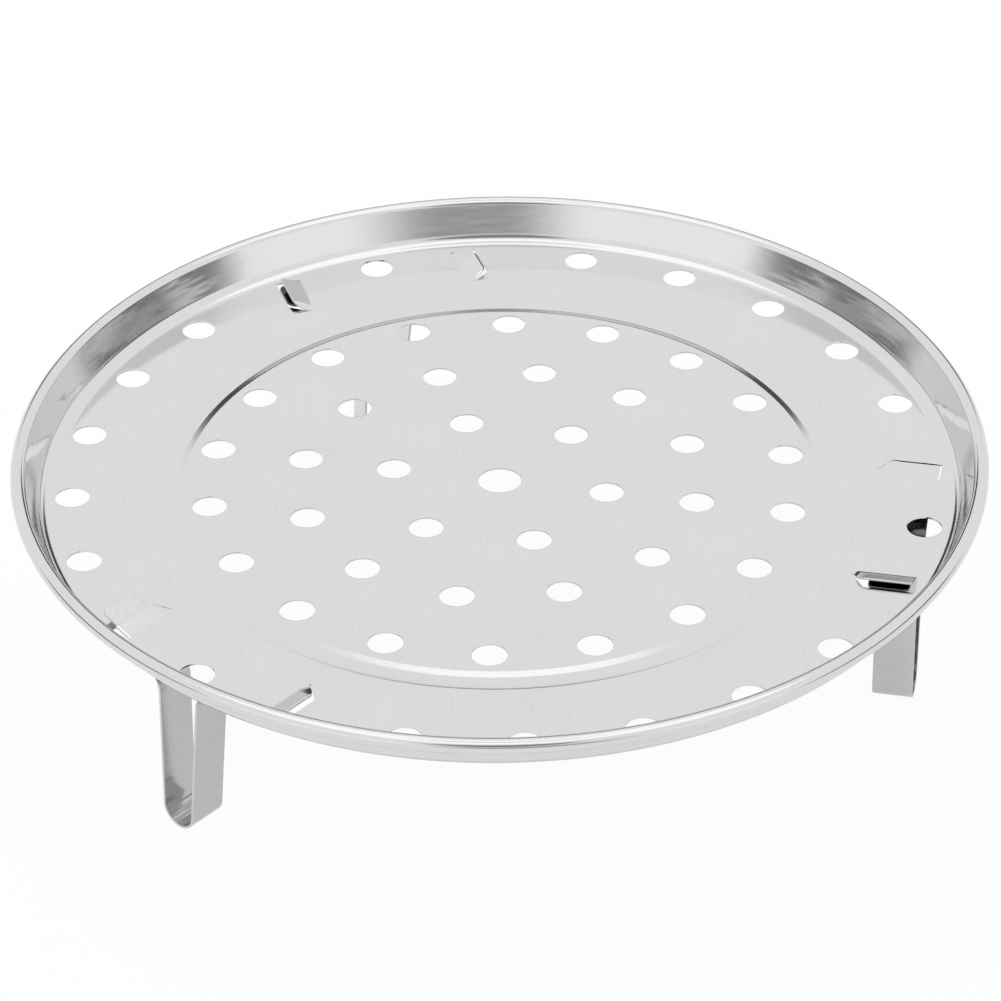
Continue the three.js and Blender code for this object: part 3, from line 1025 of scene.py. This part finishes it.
@dataclass(frozen=True)
class PhotoCamera:
    """The photograph's camera, placed from the middle of the plate's upper face."""

    elevation: float = math.radians(34.786)
    roll: float = math.radians(-0.747)
    distance: float = 980.5 * MM
    shift_right: float = 0.174 * MM
    shift_up: float = -4.717 * MM
    focal_pixels: float = 4257.6
    image_width: int = 1001
    sensor: float = 36.0
    clip: Span = (0.01, 50.0)

    def build(self, target: Vector) -> None:
        """Adds the camera.

        Args:
            target: The middle of the plate's upper face in metres.
        """
        turn = Matrix.Rotation(PHOTO_TURN, 3, "Z")
        back = turn @ Vector((0, -math.cos(self.elevation), math.sin(self.elevation)))
        level = turn @ Vector((1, 0, 0))
        upright = back.cross(level)
        right = math.cos(self.roll) * level + math.sin(self.roll) * upright
        up = math.cos(self.roll) * upright - math.sin(self.roll) * level
        eye = target + right * self.shift_right + up * self.shift_up + back * self.distance
        data = bpy.data.cameras.new("photo_camera")
        data.sensor_width = self.sensor
        data.lens = self.focal_pixels * self.sensor / self.image_width
        data.clip_start, data.clip_end = self.clip
        camera = bpy.data.objects.new("photo_camera", data)
        facing = Matrix((right, up, back)).transposed().to_4x4()
        camera.matrix_world = Matrix.Translation(eye) @ facing
        bpy.context.collection.objects.link(camera)
        bpy.context.scene.camera = camera


@dataclass(frozen=True)
class Studio:
    """A white table under a soft lamp, in a pale room as the steel mirrors it.

    Lengths are in metres. A depth is how much darker than plain a part of the room is, a light how
    much brighter. Its edge is the span of a direction's height or side over which it comes or goes.
    """

    floor_size: float = 8.0
    floor_tone: float = 0.9
    floor_white: float = 0.955
    floor_gloss: float = 0.85
    shadow_gloss: float = 0.55
    shadow_radii: Span = (0.092, 0.114)
    room_light: float = 0.6
    lamp_power: float = 9.0
    lamp_size: float = 1.2
    lamp_place: tuple[float, float, float] = (-0.25, 0.3, 1.3)
    far_edge: Span = (-0.3, 0.2)
    ceiling_light: float = 0.36
    ceiling_edge: Span = (0.83, 0.88)
    zenith_edge: Span = (0.975, 0.992)
    band_depth: float = 0.96
    band_foot: Span = (0.09, 0.15)
    band_top: Span = (0.33, 0.39)
    band_side: Span = (0.38, 0.47)
    low_light: float = 0.12
    low_edge: Span = (0.1, 0.45)
    person_depth: float = 0.75
    person_middle: float = 0.1
    person_side: Span = (0.12, 0.5)
    flank_depth: float = 0.88
    flank_top: Span = (0.12, 0.24)
    flank_side: Span = (0.86, 0.96)
    eye_depth: float = 0.7
    eye_edge: Span = (0.95, 0.985)

    def build(self) -> None:
        """Adds the floor, the room and the lamp."""
        self.floor()
        self.room()
        self.lamp()
        bpy.context.scene.view_settings.view_transform = "Standard"

    def floor(self) -> None:
        """Adds the white table, which keeps a faint shadow and mirrors darker under the basket."""
        bpy.ops.object.select_all(action="DESELECT")
        bpy.ops.mesh.primitive_plane_add(size=self.floor_size)
        floor = bpy.context.active_object
        floor.name = "floor"
        made = bpy.data.materials.new("white_table")
        made.use_nodes = True
        made.node_tree.nodes.remove(made.node_tree.nodes["Principled BSDF"])
        wire = Wiring(made.node_tree)
        matt = wire.node("ShaderNodeBsdfDiffuse", grey(self.floor_tone))
        glow = wire.node("ShaderNodeEmission")
        path = wire.node("ShaderNodeLightPath")
        place = wire.node("ShaderNodeTexCoord").outputs["Object"]
        radius = wire.node("ShaderNodeVectorMath", place, operation="LENGTH")
        open_floor = wire.step(radius.outputs["Value"], *self.shadow_radii)
        gloss = wire.math("MULTIPLY_ADD", open_floor, self.floor_gloss - self.shadow_gloss,
                          self.shadow_gloss)
        mirrored = wire.product(gloss, path.outputs["Is Glossy Ray"])
        share = wire.math("MAXIMUM", wire.product(wire.seen(path), self.floor_white), mirrored)
        mix = wire.node("ShaderNodeMixShader", share, matt.outputs[0], glow.outputs[0])
        wire.feed(mix.outputs[0], made.node_tree.nodes["Material Output"].inputs["Surface"])
        floor.data.materials.append(made)

    def room(self) -> None:
        """Sets the world: white to the camera, even to the table, a shaded room to the steel."""
        world = bpy.data.worlds.new("pale_room")
        bpy.context.scene.world = world
        world.use_nodes = True
        wire = Wiring(world.node_tree)
        background = world.node_tree.nodes["Background"]
        path = wire.node("ShaderNodeLightPath")
        mirrored = path.outputs["Is Glossy Ray"]
        lit = wire.blend("FLOAT", mirrored, self.room_light, self.room_tone(wire))
        wire.feed(wire.blend("FLOAT", wire.seen(path), lit, 1.0), background.inputs["Strength"])
        background.inputs["Color"].default_value = grey(1.0)

    def room_tone(self, wire: Wiring) -> Socket:
        """Shades the room by direction, seen from the basket.

        The ceiling is bright, but plain right overhead. The far side has a dark band over a pale
        skirting. The near side is a little brighter low down, and dim where the photographer stands
        and around the camera. Both flanks are dark low down.

        Args:
            wire: The world's wiring.

        Returns:
            The brightness that the steel mirrors.
        """
        direction = wire.node("ShaderNodeTexCoord").outputs["Generated"]
        across, away, height = wire.axes(wire.turned(direction, -PHOTO_TURN))
        aside = wire.math("ABSOLUTE", across)
        ceiling = wire.product(wire.step(height, *self.ceiling_edge),
                               wire.fall(height, *self.zenith_edge))
        band = wire.product(wire.step(away, *self.far_edge), wire.step(height, *self.band_foot),
                            wire.fall(height, *self.band_top), wire.fall(aside, *self.band_side),
                            self.band_depth)
        low = wire.product(wire.fall(away, *self.far_edge), wire.fall(height, *self.low_edge))
        from_person = wire.math("ABSOLUTE", wire.math("SUBTRACT", across, self.person_middle))
        person = wire.product(low, wire.fall(from_person, *self.person_side), self.person_depth)
        flank = wire.product(wire.step(aside, *self.flank_side), wire.fall(height, *self.flank_top),
                             self.flank_depth)
        to_eye = wire.math("MULTIPLY_ADD", away, -math.cos(PhotoCamera.elevation),
                           wire.product(height, math.sin(PhotoCamera.elevation)))
        eye = wire.product(wire.step(to_eye, *self.eye_edge), self.eye_depth)
        dark = band
        for other in (person, flank, eye):
            dark = wire.math("MAXIMUM", dark, other)
        plain = wire.math("MULTIPLY_ADD", ceiling, self.ceiling_light, 1.0)
        bright = wire.math("MULTIPLY_ADD", low, self.low_light, plain)
        return wire.math("SUBTRACT", bright, dark)

    def lamp(self) -> None:
        """Adds the soft lamp that lights the table and points at the basket."""
        data = bpy.data.lights.new("soft_lamp", "AREA")
        data.size = self.lamp_size
        data.energy = self.lamp_power
        lamp = bpy.data.objects.new("soft_lamp", data)
        place = Vector(self.lamp_place)
        facing = place.to_track_quat("Z", "Y").to_matrix().to_4x4()
        lamp.matrix_world = Matrix.Translation(place) @ facing
        lamp.visible_glossy = False
        bpy.context.collection.objects.link(lamp)


LEGS = (
    StripLeg("leg_back", LEG_AZIMUTHS[0], tilt=math.radians(-5)),
    StripLeg("leg_right", LEG_AZIMUTHS[1], tongue_rises=(math.radians(2), math.radians(10))),
    StripLeg("leg_left", LEG_AZIMUTHS[2], slide=-7.0, tilt=math.radians(4), tongue_reach=23.0,
             tongue_rises=(math.radians(19), math.radians(19))),
)


def main() -> None:
    """Builds the basket, its finishes, the studio and the camera."""
    logging.basicConfig(level=logging.INFO, format="%(message)s")
    grain = BrushGrain().build()
    marks = HandlingMarks().build()
    sheet_steel = SHEET_FINISH.material(grain, marks)
    strip_steel = STRIP_FINISH.material(grain, marks)
    sheet = Tray().build()
    sheet.data.materials.append(sheet_steel)
    hand_over(sheet, "tray")
    for leg in LEGS:
        strip = leg.build()
        strip.data.materials.append(strip_steel)
        hand_over(strip, leg.node)
    Studio().build()
    PhotoCamera().build(UP * PLATE_HEIGHT * MM)


if __name__ == "__main__":
    main()
